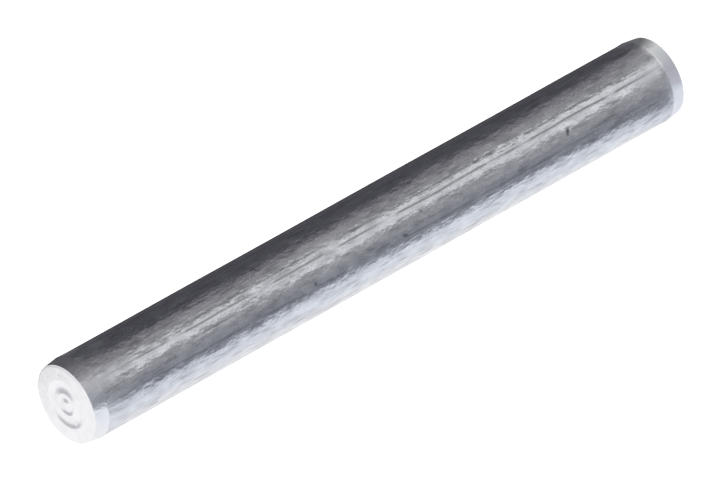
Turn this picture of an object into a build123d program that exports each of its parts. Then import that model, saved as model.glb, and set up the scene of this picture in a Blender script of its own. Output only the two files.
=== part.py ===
from build123d import *
import math
import os

os.makedirs("parts", exist_ok=True)

# A parallel dowel pin of solid steel, turned as one piece.
# It stands on its plain end, with its axis on +Z and the origin at the foot of the axis.
# Lengths are in millimetres and angles in degrees.

# The shank and its two like ends.
diameter = 8.0
length = 70.0
chamfer_length = 1.5      # along the axis, at each end
chamfer_angle = 8.0       # between the chamfer and the axis
edge_round = 0.12         # rounding where an end face meets its chamfer

# The rings that the cut-off tool left in the upper end face, from the middle outwards.
pip_radius = 0.25
inner_ring_width = 0.8
inner_ring_depth = 0.09
land_width = 0.05         # left standing between the two rings
outer_ring_width = 1.2
outer_ring_depth = 0.12

shank_radius = diameter / 2
face_radius = shank_radius - chamfer_length * math.tan(math.radians(chamfer_angle))
inner_ring_edge = pip_radius + inner_ring_width
outer_ring_start = inner_ring_edge + land_width
outer_ring_edge = outer_ring_start + outer_ring_width


def ring_groove(start, end, depth):
    """A shallow arc across the upper end face, from one radius to another."""
    middle = (start + end) / 2
    return ThreePointArc((start, length), (middle, length - depth), (end, length))


def half_section():
    """The pin's outline on one side of its axis, as radius and height."""
    with BuildSketch(Plane.XZ) as section:
        with BuildLine():
            Polyline(
                (0, length),
                (0, 0),
                (face_radius, 0),
                (shank_radius, chamfer_length),
                (shank_radius, length - chamfer_length),
                (face_radius, length),
                (outer_ring_edge, length),
            )
            ring_groove(outer_ring_edge, outer_ring_start, outer_ring_depth)
            Line((outer_ring_start, length), (inner_ring_edge, length))
            ring_groove(inner_ring_edge, pip_radius, inner_ring_depth)
            Line((pip_radius, length), (0, length))
        make_face()
        face_corners = [corner for corner in section.vertices() if math.isclose(corner.X, face_radius)]
        fillet(face_corners, edge_round)
    return section.sketch


def dowel_pin():
    """The whole pin, turned about its axis."""
    return revolve(half_section(), axis=Axis.Z)


export_step(dowel_pin(), "parts/dowel_pin.step")
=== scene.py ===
import math
import random
import bpy
import numpy as np
from mathutils import Matrix, Vector


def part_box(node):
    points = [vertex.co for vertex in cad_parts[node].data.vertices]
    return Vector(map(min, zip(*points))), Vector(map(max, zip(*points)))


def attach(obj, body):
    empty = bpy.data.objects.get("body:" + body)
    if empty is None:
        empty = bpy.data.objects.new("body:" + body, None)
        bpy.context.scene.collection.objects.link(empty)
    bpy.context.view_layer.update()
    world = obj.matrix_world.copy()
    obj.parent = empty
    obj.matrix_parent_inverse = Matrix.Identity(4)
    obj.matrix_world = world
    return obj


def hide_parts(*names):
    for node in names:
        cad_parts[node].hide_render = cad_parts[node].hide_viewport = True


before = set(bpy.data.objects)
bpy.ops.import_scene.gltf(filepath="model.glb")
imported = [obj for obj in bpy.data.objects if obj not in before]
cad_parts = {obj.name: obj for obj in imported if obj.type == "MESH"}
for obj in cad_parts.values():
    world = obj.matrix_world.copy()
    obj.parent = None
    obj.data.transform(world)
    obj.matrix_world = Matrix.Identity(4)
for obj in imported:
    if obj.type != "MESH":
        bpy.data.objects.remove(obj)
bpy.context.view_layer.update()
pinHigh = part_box("dowel_pin")[1]
shankRadius = max(pinHigh.x, pinHigh.y)
pinLength = pinHigh.z
fullTurn = 2 * math.pi
print("frame loaded, pin", round(pinLength * 1000, 2), "mm long")

# lengths are in metres, from the foot of the pin's axis, which stands on +Z
# angles round the pin start at the camera's side, which is -Y, and grow towards +X

pin = {
    "chamferLength": 0.0015,
    "chamferAngle": math.radians(8),
    "chamferSteps": 10,
    "edgeRound": 0.00012,                       # where an end face meets its chamfer
    "edgeSteps": 6,
    "innerRing": (0.00025, 0.00105, 0.00009),   # tool rings in the upper face: from radius, to radius, depth
    "outerRing": (0.00110, 0.00230, 0.00012),
    "ringSteps": 12,
    "flatSteps": 10,
    "pipSteps": 4,
    "around": 320,                              # faces round the pin
    "rowPitch": 0.00048,                        # between rows of faces along the shank
    "dentRows": (-1.5, 1.5, 13),                # added over each dent: from, to (in half lengths), how many
    "rowGap": 0.00003,                          # rows closer than this are left out
}
shankZone, chamferZone, faceZone = range(3)     # also the order of the pin's materials

drawMarks = {                       # lengthwise grooves left by the drawing die
    "seed": 11,
    "count": 150,
    "depth": (0.000001, 0.000005),
    "halfWidth": (0.00008, 0.00026),
    "length": (0.004, 0.045),
    "wander": 0.00015,              # sideways drift along one mark
    "wanderTurn": 4,                # radians of that drift's wave to the length of a mark
}

waviness = {                        # the shank is not quite true
    "seed": 4,
    "count": 9,
    "depth": 0.0000030,
    "lobes": (3, 9),                # waves round the shank
    "length": (0.014, 0.045),       # of one wave along it
}

dents = [                           # angle and height of the middle, half sizes across and along, turn, depth
    (-7.8, 0.0135, 0.00036, 0.00018, -31, 0.000040),
    (-5.0, 0.0310, 0.00015, 0.00022, 0, 0.000024),
    (-23.0, 0.0334, 0.00016, 0.00034, -20, 0.000030),
    (-21.0, 0.0440, 0.00022, 0.00018, 0, 0.000024),
    (-5.0, 0.0550, 0.00010, 0.00190, 0, 0.000020),
    (128.0, 0.0270, 0.00016, 0.00030, 15, 0.000030),
    (-152.0, 0.0480, 0.00014, 0.00110, 5, 0.000024),
]

faceMarks = [                       # on the upper end: x, y, radius, depth (a burr stands up)
    (-0.00180, 0.00024, 0.00020, -0.000030),
    (0.00266, -0.00145, 0.00022, 0.000025),
    (0.00145, 0.00193, 0.00030, 0.000020),
]


def ringArc(start, end, depth):
    # radii and drops across one ring, which is an arc in section
    half = (end - start) / 2
    bend = (half * half + depth * depth) / (2 * depth)
    radii = np.linspace(end, start, pin["ringSteps"] + 1)
    drops = np.sqrt(bend ** 2 - (radii - start - half) ** 2) - (bend - depth)
    return list(zip(radii, drops))


def edgeArc():
    # the rounding from the chamfer to the end face, as radius and drop below the face
    slope, rounding = pin["chamferAngle"], pin["edgeRound"]
    faceRadius = shankRadius - pin["chamferLength"] * math.tan(slope)
    centre = faceRadius - rounding * (1 - math.sin(slope)) / math.cos(slope)
    turns = np.linspace(slope, math.pi / 2, pin["edgeSteps"] + 1)
    return [(centre + rounding * math.cos(turn), rounding - rounding * math.sin(turn)) for turn in turns]


def chamferRun():
    # from the end of the shank to the rounding
    radius, drop = edgeArc()[0]
    parts = np.linspace(0, 1, pin["chamferSteps"], endpoint=False)
    return [(shankRadius + (radius - shankRadius) * part,
             pin["chamferLength"] + (drop - pin["chamferLength"]) * part) for part in parts]


def flatRun(outer, inner, steps):
    return [(radius, 0.0) for radius in np.linspace(outer, inner, steps + 1)[1:-1]]


def shankHeights():
    # evenly spaced rows, with more of them across each dent
    start, end = pin["chamferLength"], pinLength - pin["chamferLength"]
    heights = set(np.arange(start, end, pin["rowPitch"])[1:-1])
    for _, middle, _, halfLength, _, _ in dents:
        heights.update(middle + halfLength * np.linspace(*pin["dentRows"]))
    kept = []
    for height in sorted(heights):
        if not kept or height - kept[-1] > pin["rowGap"]:
            kept.append(height)
    return kept


def pinRows():
    # (radius, height, zone) from the middle of the lower face to the middle of the upper one
    edge, chamfer = edgeArc(), chamferRun()
    faceRadius = edge[-1][0]
    lowerFace = flatRun(faceRadius, 0, pin["flatSteps"])
    upperFace = flatRun(faceRadius, pin["outerRing"][1], pin["flatSteps"])
    upperFace += ringArc(*pin["outerRing"]) + ringArc(*pin["innerRing"])
    upperFace += flatRun(pin["innerRing"][0], 0, pin["pipSteps"])
    rows = [(radius, drop, faceZone) for radius, drop in reversed(edge + lowerFace)]
    rows += [(radius, drop, chamferZone) for radius, drop in reversed(chamfer)]
    rows += [(shankRadius, height, shankZone) for height in shankHeights()]
    rows += [(radius, pinLength - drop, chamferZone) for radius, drop in chamfer]
    rows += [(radius, pinLength - drop, faceZone) for radius, drop in edge + upperFace]
    return rows


def turnedAway(angles, start):
    # how far round the angles are from the start, from minus half a turn to half a turn
    return (angles - start + math.pi) % fullTurn - math.pi


def drawMarkDepth(angles, heights):
    # how deep the grooves are at each angle and height, as rows of heights
    rng = random.Random(drawMarks["seed"])
    depth = np.zeros((heights.size, angles.size))
    for _ in range(drawMarks["count"]):
        span = rng.uniform(*drawMarks["length"])
        middle = rng.uniform(0, pinLength)
        deep = rng.uniform(*drawMarks["depth"])
        half = rng.uniform(*drawMarks["halfWidth"])
        start = rng.uniform(-math.pi, math.pi)
        wave = rng.uniform(0, fullTurn) + heights / span * drawMarks["wanderTurn"]
        drift = drawMarks["wander"] * np.sin(wave) / shankRadius
        fade = np.clip(1 - ((heights - middle) / (span / 2)) ** 2, 0, 1)
        depth += deep * fade * np.exp(-(turnedAway(angles, start + drift) * shankRadius / half) ** 2)
    return depth


def wavinessDepth(angles, heights):
    # waves that twist along the shank, from nothing to twice the depth
    rng = random.Random(waviness["seed"])
    depth = np.zeros((heights.size, angles.size))
    for _ in range(waviness["count"]):
        lobes = rng.randint(*waviness["lobes"])
        along = fullTurn / rng.uniform(*waviness["length"])
        depth += 1 + np.sin(angles * lobes + heights * along * rng.choice((-1, 1)) + rng.uniform(0, fullTurn))
    return depth * waviness["depth"]


def dentDepth(angles, heights):
    # each dent is an oval hollow, turned on the surface
    depth = np.zeros((heights.size, angles.size))
    for angle, middle, halfWidth, halfLength, turn, deep in dents:
        across = turnedAway(angles, math.radians(angle)) * shankRadius
        along = heights - middle
        cosine, sine = math.cos(math.radians(turn)), math.sin(math.radians(turn))
        wide, long = across * cosine + along * sine, along * cosine - across * sine
        depth += deep * np.exp(-(wide / halfWidth) ** 2 - (long / halfLength) ** 2)
    return depth


def faceMarkDepth(x, y):
    depth = np.zeros_like(x)
    for markX, markY, radius, deep in faceMarks:
        depth += deep * np.exp(-((x - markX) ** 2 + (y - markY) ** 2) / radius ** 2)
    return depth


def fadeAtEnds(heights):
    # the shank's marks run out where the chamfers begin
    start, end = pin["chamferLength"], pinLength - pin["chamferLength"]
    return np.clip(np.minimum(heights - start, end - heights) / pin["rowPitch"], 0, 1)


def pinPoints(rows, zones):
    # the rows' points, row after row, then the middles of the lower and the upper face
    angles = np.arange(pin["around"])[None, :] * fullTurn / pin["around"]
    radii = np.array([row[0] for row in rows])[:, None] * np.ones_like(angles)
    heights = np.array([row[1] for row in rows])[:, None] * np.ones_like(angles)
    shank = zones == shankZone
    level = heights[shank, :1]
    marks = drawMarkDepth(angles, level) + wavinessDepth(angles, level) + dentDepth(angles, level)
    radii[shank] -= marks * fadeAtEnds(level)
    x, y = radii * np.sin(angles), -radii * np.cos(angles)
    upper = (zones == faceZone) & (heights[:, 0] > pinLength / 2)
    heights[upper] -= faceMarkDepth(x[upper], y[upper])
    heights = np.minimum(heights, pinLength)
    points = np.stack([x, y, heights], axis=-1).reshape(-1, 3).tolist()
    return points + [(0, 0, 0), (0, 0, pinLength)]


def pinFaces(zones):
    # four-sided faces between the rows and a fan in the middle of each end, with their material slots
    around, last = pin["around"], (len(zones) - 1) * pin["around"]
    footMiddle = last + around
    topMiddle = footMiddle + 1
    faces, slots = [], []
    for row in range(len(zones) - 1):
        base = row * around
        slot = int(min(zones[row], zones[row + 1]))
        for k in range(around):
            following = (k + 1) % around
            faces.append((base + k, base + following, base + around + following, base + around + k))
            slots.append(slot)
    for k in range(around):
        following = (k + 1) % around
        faces += [(footMiddle, following, k), (topMiddle, last + k, last + following)]
        slots += [faceZone, faceZone]
    return faces, slots


def makePin(materials):
    rows = pinRows()
    zones = np.array([row[2] for row in rows])
    faces, slots = pinFaces(zones)
    mesh = bpy.data.meshes.new("pinMesh")
    mesh.from_pydata(pinPoints(rows, zones), [], faces)
    for material in materials:
        mesh.materials.append(material)
    mesh.polygons.foreach_set("material_index", slots)
    mesh.polygons.foreach_set("use_smooth", [True] * len(faces))
    mesh.update()
    piece = bpy.data.objects.new("drawnPin", mesh)
    bpy.context.scene.collection.objects.link(piece)
    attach(piece, "root")
    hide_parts("dowel_pin")
    print("pin made,", len(faces), "faces")


class Nodes:
    # a short way to lay out a node tree: each call makes a node, and links or sets its inputs by name
    def __init__(self, tree):
        self.tree = tree
        self.tree.nodes.clear()

    def add(self, kind, inputs=None, **settings):
        node = self.tree.nodes.new("ShaderNode" + kind)
        for key, value in settings.items():
            setattr(node, key, value)
        for key, value in (inputs or {}).items():
            if isinstance(value, bpy.types.NodeSocket):
                self.tree.links.new(value, node.inputs[key])
            else:
                node.inputs[key].default_value = value
        return node.outputs

    def math(self, operation, first, second=0.0):
        return self.add("Math", {0: first, 1: second}, operation=operation)[0]

    def remap(self, value, start, end, low=0.0, high=1.0):
        return self.add("MapRange", {"Value": value, "From Min": start, "From Max": end,
                                     "To Min": low, "To Max": high})["Result"]

    def noise(self, scale, detail=2.0, offset=(0, 0, 0)):
        # smooth noise in the pin's own space: scale is in repeats to the metre on X, Y and Z
        where = self.add("TexCoord")["Object"]
        placed = self.add("Mapping", {"Vector": where, "Scale": scale, "Location": offset})["Vector"]
        settings = {"Vector": placed, "Scale": 1.0, "Detail": detail, "Roughness": 0.5}
        return self.add("TexNoise", settings)["Fac"]

    def angle(self):
        # round the pin, in radians, from the camera's side towards +X
        where = self.add("SeparateXYZ", {0: self.add("TexCoord")["Object"]})
        return self.math("ARCTAN2", where["X"], self.math("MULTIPLY", where["Y"], -1.0))

    def mix(self, factor, first, second):
        return self.add("Mix", {"Factor": factor, 6: first, 7: second}, data_type="RGBA")[2]


def newMaterial(name):
    material = bpy.data.materials.new(name)
    material.use_nodes = True
    return material, Nodes(material.node_tree)


def addSurface(nodes, shader):
    out = nodes.tree.nodes.new("ShaderNodeOutputMaterial")
    nodes.tree.links.new(shader, out.inputs["Surface"])


noiseSpread = (0.35, 0.65)          # nearly all of a noise lies between these

shankFinish = {
    "clean": (0.76, 0.775, 0.815, 1),
    "dull": (0.625, 0.635, 0.67, 1),
    # the dark tone of the random smudges and of the painted shade in the grooves and dents
    "shadeAndSmudgeTone": (0.22, 0.22, 0.235, 1),
    "roughness": (0.11, 0.30),      # from patch to patch
    # uneven height: lumps, fine streaks along the shank and long swells
    "lumps": {"scale": (1900, 1900, 1200), "detail": 3.0, "offset": (3, 1, 7), "depth": 0.000078},
    "streaks": {"scale": (5400, 5400, 140), "detail": 2.0, "offset": (0, 5, 2), "depth": 0.000014},
    "swells": {"scale": (560, 560, 150), "detail": 2.0, "offset": (8, 2, 4), "depth": 0.000045},
    # uneven roughness, tone and soiling
    "blotches": {"scale": (900, 900, 420), "detail": 4.0, "offset": (2, 6, 3)},
    "clouds": {"scale": (1300, 1300, 650), "detail": 4.0, "offset": (5, 9, 2)},
    "smudges": {"scale": (2000, 2000, 420), "detail": 3.0, "offset": (7, 3, 5)},
    "smudgeRange": (0.54, 0.68),
    "smudgeDarkness": 0.40,
    "wornEnd": 0.0060,              # from each end of the pin, how far the shank is rubbed duller
    "wornRoughness": 0.20,
    "dentShadeReach": (1.6, 0.3),      # where the painted shade in a dent starts and is full: squared distance in half sizes
}

grooveShade = {                       # painted shade of the drawing die's grooves, as dark lines along the shank
    "angles": (7.4, 16.5, -25.5, 63.0, -118.0, 171.0),  # degrees round the pin
    "darkness": (0.78, 0.50, 0.40, 0.35, 0.50, 0.40),
    "halfWidth": 0.00016,
    "core": 0.2,                                        # the part of the half width that is darkest
    "wander": {"scale": (1, 1, 120), "detail": 2.0},    # sideways drift
    "wanderWidth": 0.0005,
    "breaks": {"scale": (300, 300, 330), "detail": 2.0},
    "breakRange": (0.36, 0.50),
}

turnedFinish = {
    "chamfer": {"clean": (0.85, 0.86, 0.89, 1), "roughness": (0.30, 0.22), "lumpDepth": 0.000110},
    "face": {"clean": (0.915, 0.91, 0.94, 1), "roughness": (0.27, 0.22), "lumpDepth": 0.000020},
    "dull": 0.96,                   # of the clean tone; the roughness above is dull, then clean
    "ringPitch": 7000,              # tool lines to the metre
    "lineDepth": 0.000004,
    "patches": {"scale": (900, 900, 900), "detail": 3.0},
    "lumps": {"scale": (1100, 1100, 500), "detail": 2.0, "offset": (4, 4, 1)},
}


def layer(nodes, finish):
    return nodes.noise(finish["scale"], finish["detail"], finish.get("offset", (0, 0, 0)))


def paintedGrooveShade(nodes):
    # painted shade of the grooves: 0 between the lines, up to 1 in the middle of the darkest line
    angle = nodes.angle()
    drift = nodes.remap(layer(nodes, grooveShade["wander"]), 0, 1, -0.5, 0.5)
    drift = nodes.math("MULTIPLY", drift, grooveShade["wanderWidth"] / shankRadius)
    breaks = nodes.remap(layer(nodes, grooveShade["breaks"]), *grooveShade["breakRange"])
    reach = grooveShade["halfWidth"] / shankRadius
    lines = None
    for degrees, darkness in zip(grooveShade["angles"], grooveShade["darkness"]):
        away = nodes.math("SUBTRACT", nodes.math("ADD", angle, drift), math.radians(degrees))
        line = nodes.remap(nodes.math("ABSOLUTE", away), reach, reach * grooveShade["core"], 0, darkness)
        lines = line if lines is None else nodes.math("MAXIMUM", lines, line)
    return nodes.math("MULTIPLY", lines, breaks)


def paintedDentShade(nodes):
    # painted shade in the dents, darker the deeper the dent
    angle = nodes.angle()
    height = nodes.add("SeparateXYZ", {0: nodes.add("TexCoord")["Object"]})["Z"]
    deepest = max(dent[-1] for dent in dents)
    spots = None
    for degrees, middle, halfWidth, halfLength, turn, depth in dents:
        cosine, sine = math.cos(math.radians(turn)), math.sin(math.radians(turn))
        across = nodes.math("MULTIPLY", nodes.math("SUBTRACT", angle, math.radians(degrees)), shankRadius)
        along = nodes.math("SUBTRACT", height, middle)
        wide = nodes.math("ADD", nodes.math("MULTIPLY", across, cosine / halfWidth),
                          nodes.math("MULTIPLY", along, sine / halfWidth))
        long = nodes.math("SUBTRACT", nodes.math("MULTIPLY", along, cosine / halfLength),
                          nodes.math("MULTIPLY", across, sine / halfLength))
        reach = nodes.math("ADD", nodes.math("MULTIPLY", wide, wide), nodes.math("MULTIPLY", long, long))
        spot = nodes.remap(reach, *shankFinish["dentShadeReach"], 0, depth / deepest)
        spots = spot if spots is None else nodes.math("MAXIMUM", spots, spot)
    return spots


def wornEnds(nodes):
    # 0 along the shank, up to 1 where it meets the chamfers
    height = nodes.add("SeparateXYZ", {0: nodes.add("TexCoord")["Object"]})["Z"]
    middle = pinLength / 2
    away = nodes.math("ABSOLUTE", nodes.math("SUBTRACT", height, middle))
    start, end = middle - shankFinish["wornEnd"], middle - pin["chamferLength"]
    return nodes.remap(away, start, end)


def drawnSteel():
    material, nodes = newMaterial("drawnSteel")
    height = None
    for name in ("lumps", "streaks", "swells"):
        finish = shankFinish[name]
        part = nodes.math("MULTIPLY", layer(nodes, finish), finish["depth"])
        height = part if height is None else nodes.math("ADD", height, part)
    bump = nodes.add("Bump", {"Height": height, "Distance": 1.0, "Strength": 1.0})["Normal"]
    clouds = layer(nodes, shankFinish["clouds"])
    colour = nodes.mix(nodes.remap(clouds, *noiseSpread), shankFinish["dull"], shankFinish["clean"])
    worn = wornEnds(nodes)
    # painted shade of the grooves, fading at the worn ends, and painted shade in the dents, with random
    # smudges, darken the colour
    lines = nodes.math("MULTIPLY", paintedGrooveShade(nodes), nodes.math("SUBTRACT", 1.0, worn))
    smudgesAndShade = nodes.math("MAXIMUM", lines, paintedDentShade(nodes))
    smudges = nodes.remap(layer(nodes, shankFinish["smudges"]), *shankFinish["smudgeRange"],
                          0, shankFinish["smudgeDarkness"])
    smudgesAndShade = nodes.math("MAXIMUM", smudgesAndShade, smudges)
    colour = nodes.mix(smudgesAndShade, colour, shankFinish["shadeAndSmudgeTone"])
    roughness = nodes.remap(layer(nodes, shankFinish["blotches"]), *noiseSpread, *shankFinish["roughness"])
    roughness = nodes.math("ADD", roughness, nodes.math("MULTIPLY", worn, shankFinish["wornRoughness"]))
    steel = nodes.add("BsdfPrincipled", {"Base Color": colour, "Metallic": 1.0,
                                         "Roughness": roughness, "Normal": bump})["BSDF"]
    addSurface(nodes, steel)
    return material


def turnedSteel(name):
    material, nodes = newMaterial(name + "Steel")
    where = nodes.add("SeparateXYZ", {0: nodes.add("TexCoord")["Object"]})
    square = nodes.math("ADD", nodes.math("MULTIPLY", where["X"], where["X"]),
                        nodes.math("MULTIPLY", where["Y"], where["Y"]))
    along = nodes.math("SUBTRACT", nodes.math("SQRT", square), where["Z"])
    pitch = nodes.math("MULTIPLY", along, turnedFinish["ringPitch"])
    lines = nodes.add("TexNoise", {"W": pitch, "Scale": 1.0, "Detail": 2.0}, noise_dimensions="1D")["Fac"]
    patches = nodes.remap(layer(nodes, turnedFinish["patches"]), *noiseSpread)
    finish = turnedFinish[name]
    dull = [channel * turnedFinish["dull"] for channel in finish["clean"][:3]] + [1]
    colour = nodes.mix(patches, dull, finish["clean"])
    roughness = nodes.remap(patches, 0, 1, *finish["roughness"])
    lumps = nodes.math("MULTIPLY", layer(nodes, turnedFinish["lumps"]), finish["lumpDepth"])
    height = nodes.math("ADD", lumps, nodes.math("MULTIPLY", lines, turnedFinish["lineDepth"]))
    bump = nodes.add("Bump", {"Height": height, "Distance": 1.0, "Strength": 1.0})["Normal"]
    steel = nodes.add("BsdfPrincipled", {"Base Color": colour, "Metallic": 1.0,
                                         "Roughness": roughness, "Normal": bump})["BSDF"]
    addSurface(nodes, steel)
    return material


studio = {
    "floorSize": 6.0,               # square, with the pin in its middle
    "floorColour": (0.85, 0.85, 0.85, 1),
    "floorGlow": 0.62,              # the floor's own white, where the camera or the polish sees it
    "skyForFloor": 0.45,            # how brightly the surroundings light the floor
    "softboxSize": 0.5,             # a round soft light straight above
    "softboxHeight": 0.7,
    "softboxPower": 3.0,
}

# paper round the pin, seen only in its polish: two (radius, height) rims and tones by angle round the pin
reflectors = {
    "shankPaper": {
        "rims": ((0.0059, 0.0002), (0.0275, 0.0575)),
        "tones": [(-180, (0.50, 0.50, 0.50)), (-168, (1.00, 1.00, 1.00)), (-118, (1.00, 1.00, 1.00)),
                  (-97, (0.91, 0.94, 0.98)), (-77, (0.90, 0.93, 0.98)), (-67, (0.82, 0.85, 0.91)),
                  (-60, (0.47, 0.49, 0.53)), (-55, (0.20, 0.21, 0.23)), (-50, (0.38, 0.40, 0.44)),
                  (-44, (0.15, 0.16, 0.18)), (-37, (0.41, 0.42, 0.46)), (-30, (0.19, 0.19, 0.21)),
                  (-23, (0.51, 0.51, 0.53)), (-16, (0.26, 0.26, 0.28)), (-10, (0.54, 0.55, 0.56)),
                  (-6, (0.30, 0.30, 0.31)), (-1, (0.94, 0.94, 0.94)), (6, (0.90, 0.90, 0.91)),
                  (11, (0.47, 0.47, 0.48)), (16, (0.86, 0.86, 0.87)), (22, (0.94, 0.94, 0.94)),
                  (26, (0.69, 0.68, 0.69)), (30, (0.19, 0.19, 0.20)), (35, (0.51, 0.51, 0.51)),
                  (41, (0.19, 0.19, 0.20)), (47, (0.51, 0.50, 0.51)), (53, (0.15, 0.14, 0.16)),
                  (60, (0.32, 0.31, 0.33)), (67, (0.11, 0.11, 0.12)), (80, (0.09, 0.09, 0.10)),
                  (158, (0.09, 0.09, 0.10)), (180, (0.47, 0.47, 0.47))],
    },
    "chamferPaper": {
        "rims": ((0.0275, 0.0575), (0.0320, 0.0700)),
        "tones": [(-180, (1.0, 1.0, 1.0)), (-90, (0.97, 0.98, 1.0)), (-48, (0.92, 0.96, 1.00)),
                  (-44, (0.28, 0.30, 0.34)), (-24, (0.23, 0.25, 0.29)), (-6, (0.40, 0.40, 0.43)),
                  (24, (0.47, 0.46, 0.48)), (44, (0.24, 0.23, 0.24)), (80, (0.10, 0.10, 0.11)),
                  (160, (0.10, 0.10, 0.11)), (180, (0.6, 0.6, 0.6))],
    },
    "rimPaper": {
        "rims": ((0.0052, 0.0002), (0.0059, 0.0002)),
        "tones": [(-180, (1.0, 1.0, 1.0)), (-60, (0.90, 0.94, 1.00)), (-40, (0.50, 0.52, 0.56)),
                  (0, (0.46, 0.46, 0.48)), (18, (1.0, 1.0, 1.0)), (50, (1.0, 1.0, 1.0)),
                  (62, (0.20, 0.20, 0.21)), (160, (0.20, 0.20, 0.21)), (180, (0.5, 0.5, 0.5))],
    },
    "footPaper": {
        "rims": ((0.0038, 0.00005), (0.0052, 0.0002)),
        "tones": [(-180, (1.0, 1.0, 1.0)), (-60, (0.85, 0.88, 0.93)), (-34, (0.78, 0.82, 0.88)),
                  (-24, (0.56, 0.56, 0.62)), (0, (0.46, 0.46, 0.50)), (20, (0.56, 0.57, 0.58)),
                  (40, (0.68, 0.70, 0.68)), (54, (0.38, 0.39, 0.38)), (70, (0.16, 0.16, 0.17)),
                  (140, (0.16, 0.16, 0.17)), (180, (0.5, 0.5, 0.5))],
    },
    "facePaper": {
        "rims": ((0.0400, 0.0840), (0.0120, 0.1150)),
        "tones": [(-180, (1.0, 1.0, 1.0)), (122, (1.0, 1.0, 1.0)), (136, (0.52, 0.52, 0.54)),
                  (166, (0.52, 0.52, 0.54)), (177, (1.0, 1.0, 1.0)), (180, (1.0, 1.0, 1.0))],
    },
}
reflectorSteps = 120                # sides to each ring of paper


def onlyInPolish(thing):
    # the papers show in reflections alone: they don't light the floor or cast a shadow
    thing.visible_camera = False
    thing.visible_diffuse = False
    thing.visible_shadow = False
    thing.visible_transmission = False
    thing.visible_volume_scatter = False


def tonedPaper(name, tones):
    # glowing paper whose tone runs from stop to stop round the pin
    material, nodes = newMaterial(name)
    place = nodes.remap(nodes.angle(), -math.pi, math.pi)
    ramp = nodes.tree.nodes.new("ShaderNodeValToRGB")
    nodes.tree.links.new(place, ramp.inputs["Fac"])
    stops = ramp.color_ramp.elements
    stops.remove(stops[1])
    for k, (degrees, tone) in enumerate(tones):
        position = 0.5 + math.radians(degrees) / fullTurn
        stop = stops[0] if k == 0 else stops.new(position)
        stop.position = position
        stop.color = (*tone, 1)
    glow = nodes.add("Emission", {"Color": ramp.outputs["Color"], "Strength": 1.0})["Emission"]
    addSurface(nodes, glow)
    material.cycles.emission_sampling = "NONE"
    return material


def addStage(name, points, faces, material):
    mesh = bpy.data.meshes.new(name)
    mesh.from_pydata(points, [], faces)
    mesh.materials.append(material)
    thing = bpy.data.objects.new(name, mesh)
    bpy.context.scene.collection.objects.link(thing)
    return thing


def makeReflector(name, plan):
    points = []
    for radius, height in plan["rims"]:
        for step in range(reflectorSteps):
            turn = fullTurn * step / reflectorSteps
            points.append((radius * math.sin(turn), -radius * math.cos(turn), height))
    faces = []
    for step in range(reflectorSteps):
        following = (step + 1) % reflectorSteps
        faces.append((step, following, reflectorSteps + following, reflectorSteps + step))
    onlyInPolish(addStage(name, points, faces, tonedPaper(name, plan["tones"])))


def makeFloor():
    material, nodes = newMaterial("paleFloor")
    path = nodes.add("LightPath")
    seen = nodes.math("MAXIMUM", path["Is Camera Ray"], path["Is Glossy Ray"])
    seen = nodes.math("MAXIMUM", seen, path["Is Transmission Ray"])
    strength = nodes.math("MULTIPLY", seen, studio["floorGlow"])
    own = nodes.add("Emission", {"Color": (1, 1, 1, 1), "Strength": strength})["Emission"]
    paper = nodes.add("BsdfDiffuse", {"Color": studio["floorColour"]})["BSDF"]
    addSurface(nodes, nodes.add("AddShader", {0: own, 1: paper})[0])
    material.cycles.emission_sampling = "NONE"
    half = studio["floorSize"] / 2
    corners = [(-half, -half, 0), (half, -half, 0), (half, half, 0), (-half, half, 0)]
    addStage("floor", corners, [(0, 1, 2, 3)], material)


def makeSky():
    world = bpy.data.worlds.new("studio")
    bpy.context.scene.world = world
    world.use_nodes = True
    nodes = Nodes(world.node_tree)
    path = nodes.add("LightPath")
    seen = nodes.math("MAXIMUM", path["Is Camera Ray"], path["Is Glossy Ray"])
    seen = nodes.math("MAXIMUM", seen, path["Is Transmission Ray"])
    strength = nodes.remap(seen, 0, 1, studio["skyForFloor"], 1)
    sky = nodes.add("Background", {"Color": (1, 1, 1, 1), "Strength": strength})["Background"]
    out = nodes.tree.nodes.new("ShaderNodeOutputWorld")
    nodes.tree.links.new(sky, out.inputs["Surface"])


def makeSoftbox():
    light = bpy.data.lights.new("softbox", "AREA")
    light.shape = "DISK"
    light.size = studio["softboxSize"]
    light.energy = studio["softboxPower"]
    box = bpy.data.objects.new("softbox", light)
    bpy.context.scene.collection.objects.link(box)
    box.location = (0, 0, studio["softboxHeight"])
    box.visible_glossy = False      # the polish shows the sky's plain white there


view = {
    "tilt": math.radians(29.15),        # of the pin's axis in the picture
    "axisAngle": math.radians(58.1),    # between the pin's axis and the line of sight
    "lens": 800,                        # a long lens, in millimetres
    "distance": 1.409,
    "aim": (-0.00040, -0.00015, 0),     # from the pin's middle: right, up and towards the camera
}


def makeCamera():
    tilt, slant = view["tilt"], view["axisAngle"]
    backward = Vector((0, -math.sin(slant), math.cos(slant)))
    farEnd = Vector((0, -math.cos(slant), -math.sin(slant)))    # where the pin's foot points in the picture
    sideways = Vector((1, 0, 0))
    right = farEnd * math.cos(tilt) - sideways * math.sin(tilt)
    up = farEnd * math.sin(tilt) + sideways * math.cos(tilt)
    turned = Matrix((right, up, backward)).transposed()
    data = bpy.data.cameras.new("camera")
    data.lens = view["lens"]
    camera = bpy.data.objects.new("camera", data)
    bpy.context.scene.collection.objects.link(camera)
    target = Vector((0, 0, pinLength / 2)) + turned @ Vector(view["aim"])
    camera.matrix_world = Matrix.Translation(target + backward * view["distance"]) @ turned.to_4x4()
    bpy.context.scene.camera = camera


makeFloor()
makeSky()
makeSoftbox()
for name, plan in reflectors.items():
    makeReflector(name, plan)
print("studio made,", len(reflectors), "papers")
makeCamera()
bpy.context.scene.view_settings.view_transform = "Standard"
print("camera placed")
steels = [drawnSteel(), turnedSteel("chamfer"), turnedSteel("face")]    # in the order of the zones
print("steels made")
makePin(steels)
